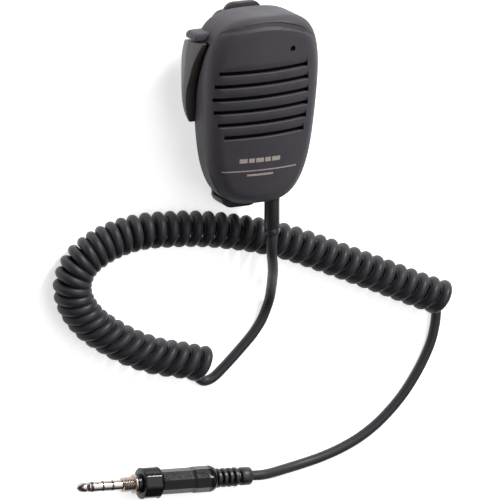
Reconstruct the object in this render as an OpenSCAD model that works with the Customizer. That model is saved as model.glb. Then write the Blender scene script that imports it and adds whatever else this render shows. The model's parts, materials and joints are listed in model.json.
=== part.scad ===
// Hand speaker-microphone with a push-to-talk paddle, a swivelling belt clip,
// a curly cord and a screw-lock 3.5 mm four-pole plug. It lies on its back on the clip.
// Frame: the swivel axis of the clip is Z, the clip rests on z = 0, +Z is the speaker side,
// +Y is the top end of the case and +X is its right side. Millimetres.

/* [Case] */
// Half of the case width at its middle
case_half_w = 19.9; // [19.6:0.1:20.3]
// Half of the case height
case_half_h = 32.7; // [32.4:0.1:33.2]
// Offset of the case middle from the swivel axis, along Y
case_mid_y = -4.4; // [-4.7:0.1:-4.2]
// How much wider the top is than the middle, as a fraction
case_taper = 0.09; // [0.07:0.01:0.12]
// Squareness of the case outline
case_power = 3.3; // [3.1:0.05:3.5]
// Height of the back face above the resting surface
back_z = 11.8; // [11.6:0.1:12]
// Height of the front crown at the case middle, above the resting surface
front_z = 32; // [31.8:0.1:32.5]
// Rise of the front towards the top end, per unit of length
front_slope = 0.127; // [0.11:0.001:0.14]
// Height of the joint between the two case halves
split_z = 21.8; // [21.8:0.1:22]
// Wall thickness of the case
wall = 1.8; // [1.6:0.1:1.9]
// Rounding of the back edge
back_round = 4; // [3:0.5:4]
// Rounding of the front edge
front_round = 4.5; // [3.5:0.5:5]
// Radius of the front crown across the case
crown_r = 48; // [45:1:52]

/* [Speaker and microphone] */
// Number of grille slots
slot_count = 6; // [4:1:6]
// Distance between grille slots
slot_pitch = 4.45; // [4.3:0.05:4.5]
// Height of a grille slot
slot_h = 1.4; // [1:0.1:1.6]
// Turn of the grille slots about the front's normal
slot_turn = 1.6; // [0:0.1:2]
// Radius of the loudspeaker
speaker_r = 14; // [13:0.5:14]
// Bore of the sound hole of the microphone
sound_hole_d = 1.8; // [1.2:0.1:2]

/* [Push-to-talk] */
// Lower end of the paddle
paddle_low = -9; // [-9.5:0.1:-8.8]
// Upper end of the paddle
paddle_high = 19.1; // [18.8:0.1:19.2]
// Thickness of the paddle at its upper end
paddle_t = 5.2; // [4.6:0.1:5.4]
// Radius of the paddle's hinge pin
ptt_pin_r = 0.75; // [0.7:0.05:0.85]

/* [Belt clip] */
// Width of the clip
clip_w = 14; // [13:0.5:14]
// Thickness of the outer clip plate
lever_t = 2.2; // [2:0.1:2.4]
// Thickness of the inner clip plate
base_t = 2.2; // [2:0.1:2.4]
// Radius of the clip's hinge pin
clip_pin_r = 1.1; // [1:0.05:1.2]
// Radius of the swivel stud
stud_r = 3.5; // [3:0.1:3.6]

/* [Cord] */
// Diameter of the cord
cord_d = 3.5; // [3.4:0.1:3.6]
// Outer diameter of the curly cord
coil_d = 12.8; // [12.6:0.1:13]
// Diameter of the strain relief on the case
relief_d = 5.2; // [5:0.1:5.6]
// Length of the strain relief outside the case
relief_len = 12.2; // [11.8:0.1:12.4]

/* [Plug] */
// Radius of the plug's contact shaft
shaft_r = 1.75; // [1.74:0.01:1.76]
// Radius of the locking thread
thread_r = 2.5; // [2.4:0.1:2.6]
// Radius of the knurled locking sleeve
sleeve_r = 5.4; // [5.2:0.1:5.6]
// Radius of the plug body
body_r = 4.6; // [4.3:0.1:4.7]

/* [Hidden] */
$fn = 64;
hull_fn = 32;
gap = 0.3;
// Overshoot of a cutting body past the face it cuts
over = 1;
// Side of a block that is larger than the whole case
block = 100;

// Heights and places that several pieces share
clip_top = 10.9;
swivel_boss_top = back_z + wall + 0.6;
board_low = 14.4;
board_t = 0.8;
board_top = board_low + board_t;
mic_at = [7.5, 17.1];
mic_low = 26.6;

// Route of the lead from the strain relief over the curly cord to its left end
relief_x = 5.8;
relief_z = 21;
relief_root_y = case_mid_y - case_half_h + 4.8;
relief_end_y = case_mid_y - case_half_h + 0.5 - relief_len;
mic_route = [[5.8, -48.8, 21], [5.8, -51.8, 21], [6.3, -56, 19.8], [7.8, -60, 17.3], [9.5, -64, 14],
    [11.1, -68, 10.2], [12.6, -72.5, 6.2], [13.3, -77, 3.4], [12.6, -81.2, 2.1], [10.9, -85.2, 1.75],
    [8, -89.2, 1.75], [4.2, -93.1, 1.75], [0.3, -96.8, 1.75], [-3.6, -100.3, 1.75], [-7.4, -103.2, 1.75],
    [-10.8, -103.8, 1.75], [-13, -101.8, 1.75], [-13.6, -98.8, 1.75]];
// Route of the curly cord's own axis, from its left end round the left bend to its right end
coil_route = [[-12, -96.5], [-21, -93.7], [-30, -91.1], [-38.7, -87.2], [-46.8, -82.2], [-54.2, -76.3],
    [-59.2, -69.1], [-60.5, -61.8], [-57.4, -55.2], [-51.2, -51], [-44.2, -48.4], [-35.5, -47.1],
    [-26, -47.4], [-16.5, -48.3], [-7.5, -49.8], [1.6, -51.9], [10.6, -54.4], [19.6, -57.6], [28.5, -61.5],
    [37.5, -65.6], [46.5, -69.8], [55.5, -74], [64.4, -78.3], [72, -81.8], [78.5, -84.6]];
// Route of the lead from the right end of the curly cord to the plug
plug_route = [[77.9, -87.2, 1.75], [78, -91, 1.75], [77.5, -95.5, 1.75], [76.1, -101, 1.75],
    [73.5, -106.8, 1.75], [70, -112.7, 1.75], [65.4, -118.9, 1.75], [60.1, -124.3, 1.75],
    [54.4, -128.9, 1.75], [47.9, -132.7, 1.75], [40.6, -135.6, 1.75], [33.2, -137.6, 1.75],
    [26, -138.8, 2], [19.8, -139.3, 3],
    [14, -139.5, 4.4], [9.5, -139.35, 5.4], [5, -139, 5.4]];
coil_z = coil_d / 2;
// Tip of the plug, and the turn of its axis about Z
plug_len = 64.6;
plug_yaw = -4.4;
plug_tail = [5, -139, 5.4];
plug_tip_at = plug_tail - plug_len * [cos(plug_yaw), sin(plug_yaw), 0];

// Rings and outlines
outline_steps = 48;
tube_sides = 8;
coil_sides = 12;

function signed_power(v, p) = sign(v) * pow(abs(v), p);
function outline(grow) = [for (k = [0:outline_steps - 1]) let (
    a = 360 * k / outline_steps,
    v = signed_power(sin(a), 2 / case_power),
    u = signed_power(cos(a), 2 / case_power))
    [(case_half_w + grow) * (1 + case_taper * v) * u, case_mid_y + (case_half_h + grow) * v]];
crown_long = 700;
function crown(p) = let (y = p[1] - case_mid_y)
    front_z + front_slope * y - p[0] * p[0] / (2 * crown_r) - y * y / crown_long;

// Stack of equal rings of points as one closed solid
module loft(rings) {
    n = len(rings[0]);
    last = len(rings) - 1;
    corners = [for (j = [0:last - 1], k = [0:n - 1]) [j * n + k, j * n + (k + 1) % n]];
    polyhedron(
        points = [for (ring = rings) each ring],
        faces = concat(
            [[for (k = [0:n - 1]) k]],
            [for (c = corners) [c[0], c[0] + n, c[1] + n]],
            [for (c = corners) [c[0], c[1] + n, c[1]]],
            [[for (k = [n - 1:-1:0]) last * n + k]]));
}

// Solid case form, smaller all round by the inset
module case_form(inset = 0) {
    back = back_z + inset;
    rb = back_round - inset / 2;
    rf = front_round - inset / 2;
    back_rings = [for (a = [0:30:90])
        [for (p = outline(-inset - rb * (1 - sin(a)))) [p[0], p[1], back + rb * (1 - cos(a))]]];
    front_rings = [for (a = [90:-22.5:0])
        [for (p = outline(-inset - rf * (1 - sin(a)))) [p[0], p[1], crown(p) - inset - rf * (1 - cos(a))]]];
    top = outline(-inset - rf);
    dome_rings = [for (s = [0.75, 0.5, 0.25])
        [for (p = top) let (q = [p[0] * s, case_mid_y + (p[1] - case_mid_y) * s])
            [q[0], q[1], crown(q) - inset]]];
    cap_scale = 0.08;
    cap_ring = [for (p = top) let (y = (p[1] - case_mid_y) * cap_scale)
        [p[0] * cap_scale, case_mid_y + y, front_z + front_slope * y - inset]];
    loft(concat(back_rings, front_rings, dome_rings, [cap_ring]));
}

function unit(v) = v / norm(v);
function tangent(route, i) = unit(route[min(i + 1, len(route) - 1)] - route[max(i - 1, 0)]);
function ring_at(route, i, r, sides) = let (
    t = tangent(route, i),
    side = unit(cross([0, 0, 1], t)),
    up = cross(t, side))
    [for (k = [0:sides - 1]) let (a = -90 + 360 * k / sides) route[i] + r * (cos(a) * side + sin(a) * up)];
module tube(route, r, sides) {
    loft([for (i = [0:len(route) - 1]) ring_at(route, i, r, sides)]);
}

// Screws that hold the case halves together
screw_at = [[12.6, 20.6], [-11.5, 21], [11.2, -27], [-11.2, -27]];
screw_r = 1;
screw_head_r = 2;
screw_head_h = 1.4;
screw_sink = 1.6;
screw_len = 9.5;
screw_bore_len = 9;
screw_play = 0.1;
boss_r = 2.4;
boss_low = back_z + wall + 2.2;

// Push-to-talk pocket in the left flank, its slanted front rim, and its paddle
pocket_x = -17;
pocket_wall = 1.2;
nest_wall = 1;
pocket_low_z = 13.6;
paddle_gap = 0.3;
pocket_low_y = paddle_low - paddle_gap;
pocket_high_y = paddle_high + paddle_gap;
rim_low_z = 15;
rim_mid = [2.5, 18.2];
rim_high_z = 25.4;
ptt_pin_at = [-17, -6.6];
nest_x = -18.7;
nest_w = 3.4;
nest_h = 5.6;
nest_top = 20.5;
ptt_pin_low = pocket_low_z - 0.8;
ptt_pin_len = 8.4;
ptt_plunger_y = 12;
ptt_plunger_z = 17.6;
ptt_out_x = -24;
plunger_hole_r = 1.9;
shoulder_x = -22.4;
shoulder_root_x = -16;
shoulder_low = paddle_high + 1.3;
shoulder_top = 22.4;
shoulder_round = 0.8;
switch_face_x = -13.4;
plunger_r = 1;

// Pocket under the slanted rim, from outside the flank to x_in, larger all round by grow
module flank_pocket(x_in, grow) {
    translate([-block, 0, 0]) rotate([90, 0, 90]) linear_extrude(block + x_in)
        polygon([[pocket_low_y - grow, pocket_low_z - grow], [pocket_high_y + grow, pocket_low_z - grow],
            [pocket_high_y + grow, rim_high_z + grow], [rim_mid[0], rim_mid[1] + grow],
            [pocket_low_y - grow, rim_low_z + grow]]);
}
// Room for the paddle's hinge barrel behind the flank
module hinge_nest(grow) {
    translate([nest_x - grow, pocket_low_y - grow, pocket_low_z - grow])
        cube([nest_w + 2 * grow, nest_h + 2 * grow, nest_top - pocket_low_z + 2 * grow]);
}
module pocket_walls() intersection() {
    union() {
        flank_pocket(pocket_x + pocket_wall, pocket_wall);
        hinge_nest(nest_wall);
    }
    case_form(wall / 2);
}
module screw_bosses(r, high) {
    for (at = screw_at) translate([at[0], at[1], boss_low]) cylinder(r = r, h = high - boss_low);
}
module relief_hole() translate([relief_x, relief_root_y, relief_z]) rotate([90, 0, 0])
    cylinder(d = relief_d, h = relief_root_y - relief_end_y + over);

// Grille slots, whose ends lie on two shallow arcs
slot_mid_y = -0.6;
slot_cut_low = 22;
slot_cut_high = 36;
function slot_left(y) = -18.9 + 0.02 * pow(y - 2, 2);
function slot_right(y) = 14.6 - 0.008 * y * y;
module grille_slots() for (k = [0:slot_count - 1]) {
    y = slot_mid_y + (k - (slot_count - 1) / 2) * slot_pitch;
    middle = (slot_left(y) + slot_right(y)) / 2;
    length = slot_right(y) - slot_left(y);
    translate([middle, y, slot_cut_low]) rotate([0, 0, slot_turn]) translate([-length / 2, -slot_h / 2, 0])
        cube([length, slot_h, slot_cut_high - slot_cut_low]);
}

// Everything below the joint between the case halves, and everything above it
module below_joint() translate([-block / 2, -block / 2, split_z - block]) cube(block);
module above_joint() translate([-block / 2, -block / 2, split_z]) cube(block);

module front_case() color([0.22, 0.22, 0.24]) difference() {
    union() {
        difference() {
            case_form();
            case_form(wall);
            below_joint();
        }
        intersection() {
            screw_bosses(boss_r, front_z + 4);
            case_form(wall / 2);
            above_joint();
        }
        difference() {
            pocket_walls();
            below_joint();
        }
        // feet of the screw bosses, which reach down into the rear case
        intersection() {
            screw_bosses(boss_r, split_z + over);
            case_form(wall + gap / 2);
        }
    }
    flank_pocket(pocket_x, 0);
    screw_bores();
    grille_slots();
    translate([mic_at[0], mic_at[1], mic_low]) cylinder(d = sound_hole_d, h = mic_t + 8);
    relief_hole();
}
module screw_bores() {
    for (at = screw_at) translate([at[0], at[1], boss_low - over]) cylinder(r = screw_r, h = screw_bore_len);
}

turn_ring_r = 8;
stud_boss_r = 6;
stud_play = 0.08;
module rear_case() color([0.20, 0.20, 0.22]) difference() {
    union() {
        difference() {
            case_form();
            case_form(wall);
        }
        pocket_walls();
        // shoulder above the paddle
        hull() for (z = [pocket_low_z + shoulder_round, split_z - shoulder_round])
            for (p = [[shoulder_x + shoulder_round, shoulder_low],
                [shoulder_x + 2 * shoulder_round, shoulder_top - shoulder_round],
                [shoulder_root_x, shoulder_top - 0.6], [shoulder_root_x, shoulder_low]])
                translate([p[0], p[1], z]) sphere(r = shoulder_round, $fn = hull_fn);
        // raised ring that the clip turns on, and its inner boss
        translate([0, 0, clip_top + gap]) cylinder(r = turn_ring_r, h = back_z - clip_top);
        translate([0, 0, back_z]) cylinder(r = stud_boss_r, h = swivel_boss_top - back_z);
    }
    above_joint();
    flank_pocket(pocket_x, 0);
    hinge_nest(0);
    ptt_pin();
    translate([pocket_x - over, ptt_plunger_y, ptt_plunger_z]) rotate([0, 90, 0])
        cylinder(r = plunger_hole_r, h = pocket_wall + 2.8);
    for (at = screw_at) translate([at[0], at[1], back_z - over]) {
        cylinder(r = screw_r + screw_play, h = boss_low - back_z + 2);
        cylinder(r = screw_head_r + 2 * screw_play, h = over + screw_sink);
    }
    cylinder(r = stud_r + stud_play, h = split_z);
    relief_hole();
}

module case_screws() color("silver") for (at = screw_at)
    translate([at[0], at[1], back_z + screw_sink - screw_head_h]) difference() {
        union() {
            cylinder(r = screw_head_r, h = screw_head_h);
            cylinder(r = screw_r, h = screw_len);
        }
        translate([0, 0, -over]) cross_recess(0.9, 0.4, over + 0.8);
    }

// Cross-shaped recess for a driver
module cross_recess(reach, width, depth) {
    for (a = [0, 90]) rotate([0, 0, a]) translate([-reach, -width / 2, 0]) cube([2 * reach, width, depth]);
}

// Cloth behind the grille, bent and tilted like the front
cloth_r = crown_r - wall - 0.8;
cloth_t = 0.3;
cloth_low_y = -14;
cloth_high_y = 12.5;
cloth_half_w = 16;
module speaker_cloth() color([0.08, 0.08, 0.08])
    translate([0, 0, front_z - front_slope * case_mid_y]) rotate([atan(front_slope), 0, 0]) intersection() {
        translate([0, cloth_high_y, -crown_r]) rotate([90, 0, 0]) difference() {
            cylinder(r = cloth_r, h = cloth_high_y - cloth_low_y);
            translate([0, 0, -over]) cylinder(r = cloth_r - cloth_t, h = block);
        }
        translate([-cloth_half_w, -block / 2, -block / 4]) cube([2 * cloth_half_w, block, block / 2]);
    }

// Loudspeaker, facing +Z
speaker_top = 26.7;
gasket_t = 0.7;
gasket_w = 1.6;
module speaker_gasket() color([0.1, 0.1, 0.1])
    band([speaker_top - gasket_t, speaker_top], speaker_r - gasket_w, speaker_r);

module speaker_frame() color("silver") rotate_extrude()
    polygon([[6.4, 20.6], [8.2, 20.6], [12.4, 24.4], [speaker_r, 24.4], [speaker_r, speaker_top - gasket_t],
        [speaker_r - 0.6, speaker_top - gasket_t], [speaker_r - 0.6, 25], [12, 25], [8, 21.2], [6.4, 21.2]]);

module speaker_cone() color([0.75, 0.72, 0.6]) rotate_extrude()
    polygon([[0, 24.4], [2.4, 23.9], [4, 22.9], [4.6, 22.9], [10.6, 25.2], [12, 25.6], [13, 25.2],
        [13.3, 25.2], [13.3, 25.5], [12, 25.9], [10.4, 25.5], [4.5, 23.2], [2.6, 24.2], [0, 24.7]]);

module speaker_magnet() color([0.35, 0.35, 0.37]) difference() {
    translate([0, 0, 17.2]) cylinder(r = 6.3, h = 5);
    translate([0, 0, 19]) difference() {
        cylinder(r = 4.4, h = 4);
        cylinder(r = 3.6, h = 4);
    }
}

module speaker_wires() color("crimson") for (x = [-1.2, 1.2]) {
    translate([x, -9.6, board_top]) cylinder(r = 0.45, h = 6.2);
}

// Electret capsule behind the sound hole, in its rubber holder
mic_r = 3;
mic_t = 2.6;
holder_floor = 0.6;
module microphone_element() color("silver") translate([mic_at[0], mic_at[1], mic_low + holder_floor])
    cylinder(r = mic_r, h = mic_t);
module microphone_holder() color([0.1, 0.1, 0.1]) translate([mic_at[0], mic_at[1], mic_low]) difference() {
    cylinder(r = mic_r + 0.7, h = 4.2);
    translate([0, 0, holder_floor]) cylinder(r = mic_r, h = mic_t);
    translate([0, 0, -over]) cylinder(r = 0.8, h = 8);
}

// Circuit board and what it carries
module circuit_board() color([0.05, 0.35, 0.15]) difference() {
    translate([0, 0, board_low]) linear_extrude(board_t)
        polygon([[-13.5, 17], [-13.5, -18], [-10.5, -24], [10.5, -24], [13.5, -18], [13.5, 17]]);
    translate([0, 0, board_low - over]) cylinder(r = stud_boss_r + 1, h = board_t + 2 * over);
}

module board_components() color([0.12, 0.12, 0.12]) {
    translate([-9, -21, board_top]) cube([6, 5, 1.4]);
    translate([-12, -14, board_top]) cube([3, 1.6, 1]);
    translate([7, -14, board_top]) cube([1.6, 3, 1]);
    translate([9.5, 9, board_top]) cylinder(r = 2, h = 4);
    translate([11, -9, board_top]) cylinder(r = 1.6, h = 3.2);
    translate([-4, 12, board_top]) cube([3.2, 1.6, 0.9]);
    translate([1, 12, board_top]) cube([3.2, 1.6, 0.9]);
}

module ptt_switch() color([0.15, 0.15, 0.17]) difference() {
    translate([switch_face_x, ptt_plunger_y - 3, board_top]) cube([3.6, 6, 4.6]);
    translate([switch_face_x - over, ptt_plunger_y, ptt_plunger_z]) rotate([0, 90, 0])
        cylinder(r = plunger_r + 0.06, h = 3.6);
}

module ptt_switch_plunger() color([0.8, 0.8, 0.76])
    translate([switch_face_x - 1.5, ptt_plunger_y, ptt_plunger_z]) rotate([0, 90, 0])
        cylinder(r = plunger_r, h = 2.6);

// Paddle with a bulged outer face, a bore for its pin and a nose that reaches the switch
paddle_steps = 12;
barrel_r = 1.4;
nose_r = 1.4;
function paddle_out(t) = ptt_out_x + 3.6 * pow(abs(t - 0.55) / 0.6, 3.5);
module ptt_button() color([0.16, 0.15, 0.16]) difference() {
    union() {
        intersection() {
            translate([0, 0, pocket_low_z]) linear_extrude(20)
                polygon(concat(
                    [[ptt_pin_at[0] + 1.3, paddle_low + 0.6], [ptt_pin_at[0] + 0.7, paddle_low]],
                    [for (k = [0:paddle_steps]) let (t = k / paddle_steps)
                        [paddle_out(t), paddle_low + t * (paddle_high - paddle_low)]],
                    [[ptt_out_x + paddle_t, paddle_high], [ptt_out_x + paddle_t, ptt_pin_at[1] + 2.4],
                        [ptt_pin_at[0] + 1.3, ptt_pin_at[1] + 1.2]]));
            flank_pocket(ptt_pin_at[0] + 2, -paddle_gap);
        }
        translate([ptt_pin_at[0], ptt_pin_at[1], pocket_low_z + paddle_gap])
            cylinder(r = barrel_r, h = nest_top - pocket_low_z - 2 * paddle_gap);
        translate([ptt_out_x + paddle_t - 1, ptt_plunger_y, ptt_plunger_z]) rotate([0, 90, 0])
            cylinder(r = nose_r, h = switch_face_x - 1.6 - (ptt_out_x + paddle_t - 1));
    }
    translate([ptt_pin_at[0], ptt_pin_at[1], ptt_pin_low])
        cylinder(r = ptt_pin_r + 0.05, h = 2 * ptt_pin_len);
}

module ptt_pin() color("silver") translate([ptt_pin_at[0], ptt_pin_at[1], ptt_pin_low])
    cylinder(r = ptt_pin_r, h = ptt_pin_len);

// Moulded strain relief: a round sleeve with an inner flange behind the case wall
module strain_relief() color([0.1, 0.1, 0.11])
    translate([relief_x, relief_end_y, relief_z]) rotate([-90, 0, 0]) difference() {
        union() {
            cylinder(d = relief_d, h = relief_root_y - relief_end_y + 3);
            translate([0, 0, relief_root_y - relief_end_y]) cylinder(d = relief_d + 2, h = 1.6);
        }
        translate([0, 0, relief_root_y - relief_end_y]) cylinder(d = 2.4, h = 10);
    }

// Saddle that clamps the cord core inside the case
clamp_y = relief_root_y + 3.4;
clamp_low = back_z + wall;
clamp_t = 3;
clamp_screw_r = 0.8;
clamp_screw_x = relief_x - 3.1;
module cord_clamp() color([0.6, 0.6, 0.6]) difference() {
    translate([relief_x - 4.6, clamp_y, clamp_low]) cube([6.8, clamp_t, relief_z - clamp_low]);
    translate([relief_x, clamp_y - over, relief_z]) rotate([-90, 0, 0]) cylinder(r = 1.5, h = 2 * clamp_t);
    translate([clamp_screw_x, clamp_y + clamp_t / 2, clamp_low - over]) cylinder(r = clamp_screw_r, h = 12);
}
module clamp_screw() color("silver") translate([clamp_screw_x, clamp_y + clamp_t / 2, clamp_low]) {
    cylinder(r = clamp_screw_r, h = relief_z - clamp_low);
    translate([0, 0, relief_z - clamp_low]) cylinder(r = 1.4, h = 0.9);
}

wire_end_y = -23;
module cord_wires() color("goldenrod") for (k = [0:3]) translate([relief_x - 0.9 + 0.6 * k, 0, 0]) {
    translate([0, relief_root_y + 0.2, relief_z]) rotate([-90, 0, 0])
        cylinder(r = 0.28, h = wire_end_y + 0.2 - relief_root_y);
    translate([0, wire_end_y, board_top]) cylinder(r = 0.2, h = relief_z - board_top);
}

// Belt clip: the inner plate turns on the case, the outer plate hinges on the inner one
clip_pin_y = 14.5;
clip_pin_z = 5.4;
clip_top_y = 29;
clip_low_y = -39.8;
lever_top_y = 24.5;
lever_low_y = -42;
ear_t = 1.5;
base_ear_r = 2.6;
lever_ear_r = 2.2;
plate_corner = 4;
jaw_len = 3.4;
swivel_screw_r = 1.1;
swivel_screw_low = clip_top - base_t + 0.8;
washer_t = 0.4;
washer_top = swivel_boss_top + 0.1 + washer_t;
lever_ear_x = clip_w / 2 - ear_t - 0.2;

// Plate with exact flat faces and round corners
module plate(y_low, y_high, w, t, corner) {
    translate([-w / 2, y_low + corner, 0]) cube([w, y_high - y_low - 2 * corner, t]);
    translate([-w / 2 + corner, y_low, 0]) cube([w - 2 * corner, y_high - y_low, t]);
    for (x = [-1, 1], y = [y_low + corner, y_high - corner])
        translate([x * (w / 2 - corner), y, 0]) cylinder(r = corner, h = t);
}

module clip_base() color([0.14, 0.14, 0.15]) difference() {
    union() {
        translate([0, 0, clip_top - base_t]) plate(clip_low_y, clip_top_y, clip_w, base_t, plate_corner);
        for (s = [-1, 1]) translate([s * (clip_w / 2 - ear_t / 2) - ear_t / 2, clip_pin_y, clip_pin_z]) {
            rotate([0, 90, 0]) cylinder(r = base_ear_r, h = ear_t);
            translate([0, -base_ear_r, 0]) cube([ear_t, 2 * base_ear_r, clip_top - clip_pin_z - 0.5]);
        }
        translate([0, 0, clip_top - base_t])
            cylinder(r = stud_r, h = swivel_boss_top + 0.1 - clip_top + base_t);
    }
    translate([0, 0, swivel_screw_low]) cylinder(r = swivel_screw_r, h = block);
    translate([-block / 2, clip_pin_y, clip_pin_z]) rotate([0, 90, 0]) cylinder(r = clip_pin_r, h = block);
}

module clip_lever() color([0.13, 0.13, 0.14]) difference() {
    union() {
        plate(lever_low_y, lever_top_y, clip_w, lever_t, plate_corner);
        // jaw: the plate turns up towards the inner plate
        intersection() {
            plate(lever_low_y, lever_low_y + 12, clip_w, clip_top - base_t - gap, plate_corner);
            translate([-clip_w, lever_low_y - over, 0]) cube([2 * clip_w, jaw_len + over, clip_top]);
        }
        translate([0, lever_low_y + 0.4, 0]) cylinder(r = 1.3, h = 5);
        for (s = [-1, 1]) translate([s * (lever_ear_x - ear_t / 2) - ear_t / 2, clip_pin_y, clip_pin_z]) {
            rotate([0, 90, 0]) cylinder(r = lever_ear_r, h = ear_t);
            translate([0, -lever_ear_r, -clip_pin_z + 0.5]) cube([ear_t, 2 * lever_ear_r, clip_pin_z - 0.5]);
        }
    }
    translate([-block / 2, clip_pin_y, clip_pin_z]) rotate([0, 90, 0])
        cylinder(r = clip_pin_r + 0.05, h = block);
}

module clip_pin() color("silver") translate([-clip_w / 2, clip_pin_y, clip_pin_z]) rotate([0, 90, 0])
    cylinder(r = clip_pin_r, h = clip_w);

// Torsion spring: turns round the pin and two legs
spring_wire = 0.35;
spring_r = clip_pin_r + 0.25 + spring_wire;
module clip_spring() color("silver") translate([0, clip_pin_y, clip_pin_z]) {
    rotate([0, 90, 0]) rotate_extrude() {
        translate([spring_r - spring_wire, -2.5]) square([spring_wire, 5]);
        for (k = [-3:3]) translate([spring_r - spring_wire, k * 0.72 - 0.3]) square([2 * spring_wire, 0.6]);
    }
    for (s = [-1, 1]) translate([2.1 * s, 0, -s * (spring_r + spring_wire / 2) - 0.2]) cube([0.5, 6, 0.4]);
}

module swivel_washer() color("silver") translate([0, 0, swivel_boss_top + 0.1]) difference() {
    cylinder(r = 5.4, h = washer_t);
    translate([0, 0, -over]) cylinder(r = swivel_screw_r, h = washer_t + 2 * over);
}

module swivel_screw() color("silver") difference() {
    union() {
        translate([0, 0, swivel_screw_low]) cylinder(r = swivel_screw_r, h = washer_top - swivel_screw_low);
        translate([0, 0, washer_top]) cylinder(r = 2.6, h = 1.3);
    }
    translate([0, 0, washer_top + 0.6]) cross_recess(1.4, 0.5, 1);
}

// Cord, in three stretches
module mic_lead() color([0.13, 0.13, 0.14]) tube(mic_route, cord_d / 2, tube_sides);
module curly_cord() color([0.16, 0.16, 0.17])
    tube([for (p = coil_route) [p[0], p[1], coil_z]], coil_d / 2, coil_sides);
module plug_lead() color([0.13, 0.13, 0.14]) tube(plug_route, cord_d / 2, tube_sides);

// Plug, built along Z from its tip and then laid down
module on_plug_axis() translate(plug_tip_at) rotate([0, 0, plug_yaw]) rotate([0, 90, 0]) children();

// Stations along the plug, from the tip
tip_end = 4.9;
ring_1 = [5.8, 8.9];
ring_2 = [9.6, 12.5];
sleeve = [13.2, 16.3];
thread_end = 20.7;
collar_end = 21.7;
neck_end = 23.3;
lock_end = 30.1;
core_end = 36;
body_end = 50.9;
core_r = 1.4;
core_bore = core_r + 0.05;
pin_r = 0.5;
pipe_r = 1.1;
taper_len = 2.4;

module plug_tip() color([0.75, 0.7, 0.66]) on_plug_axis() rotate_extrude()
    polygon([[0, 0], [0.55, 0.15], [1.05, 0.9], [1.7, 2.2], [shaft_r, 2.6], [1.3, 3.8], [shaft_r, 4.3],
        [shaft_r, tip_end], [pin_r, tip_end], [pin_r, core_end], [0, core_end]]);
module plug_ring_1() color([0.75, 0.7, 0.66]) on_plug_axis() band(ring_1, pipe_r, shaft_r);
module plug_ring_2() color([0.75, 0.7, 0.66]) on_plug_axis() band(ring_2, pipe_r, shaft_r);
module plug_sleeve() color([0.75, 0.7, 0.66]) on_plug_axis() {
    band(sleeve, pipe_r, shaft_r);
    band([sleeve[1], core_end], pipe_r, core_r);
}
module plug_insulators() color([0.1, 0.1, 0.1]) on_plug_axis() {
    band([tip_end, core_end], pin_r, pipe_r);
    for (span = [[tip_end, ring_1[0]], [ring_1[1], ring_2[0]], [ring_2[1], sleeve[0]]])
        band(span, pipe_r, shaft_r);
}

// Round band between two stations
module band(span, inner, outer) translate([0, 0, span[0]]) difference() {
    cylinder(r = outer, h = span[1] - span[0]);
    translate([0, 0, -over]) cylinder(r = inner, h = span[1] - span[0] + 2 * over);
}

module thread_collar() color([0.78, 0.7, 0.62]) on_plug_axis() {
    band([sleeve[1] + 0.2, thread_end], core_bore, thread_r);
    band([thread_end, collar_end], core_bore, thread_r + 0.8);
}

module lock_sleeve() color([0.1, 0.1, 0.1]) on_plug_axis() {
    band([collar_end, neck_end], core_bore, sleeve_r - 2);
    band([neck_end, lock_end], core_bore, sleeve_r);
}

module plug_body() color([0.1, 0.1, 0.1]) on_plug_axis() difference() {
    union() {
        translate([0, 0, lock_end + gap]) cylinder(r = body_r, h = body_end - taper_len - lock_end - gap);
        translate([0, 0, body_end - taper_len]) cylinder(r1 = body_r, r2 = body_r - 1.2, h = taper_len);
    }
    translate([0, 0, lock_end]) cylinder(r = core_r, h = core_end - lock_end);
}

rib_first = body_end + 0.7;
rib_pitch = 2.15;
rib_w = 1.2;
module plug_boot() color([0.1, 0.1, 0.1]) on_plug_axis() {
    band([body_end, plug_len], 0.6, 2.6);
    for (k = [0:3]) band([rib_first + k * rib_pitch, rib_first + k * rib_pitch + rib_w], 2, 3.3);
    band([plug_len - 4, plug_len], 2, 3.15);
}

front_case();
rear_case();
case_screws();
speaker_cloth();
speaker_gasket();
speaker_frame();
speaker_cone();
speaker_magnet();
speaker_wires();
microphone_element();
microphone_holder();
circuit_board();
board_components();
ptt_switch();
ptt_switch_plunger();
ptt_button();
ptt_pin();
strain_relief();
cord_clamp();
clamp_screw();
cord_wires();
clip_base();
clip_lever();
clip_pin();
clip_spring();
swivel_washer();
swivel_screw();
mic_lead();
curly_cord();
plug_lead();
plug_tip();
plug_ring_1();
plug_ring_2();
plug_sleeve();
plug_insulators();
thread_collar();
lock_sleeve();
plug_body();
plug_boot();
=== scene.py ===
import json
import math

import bmesh
import bpy
import numpy as np
from mathutils import Matrix, Vector
from mathutils.bvhtree import BVHTree


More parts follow.
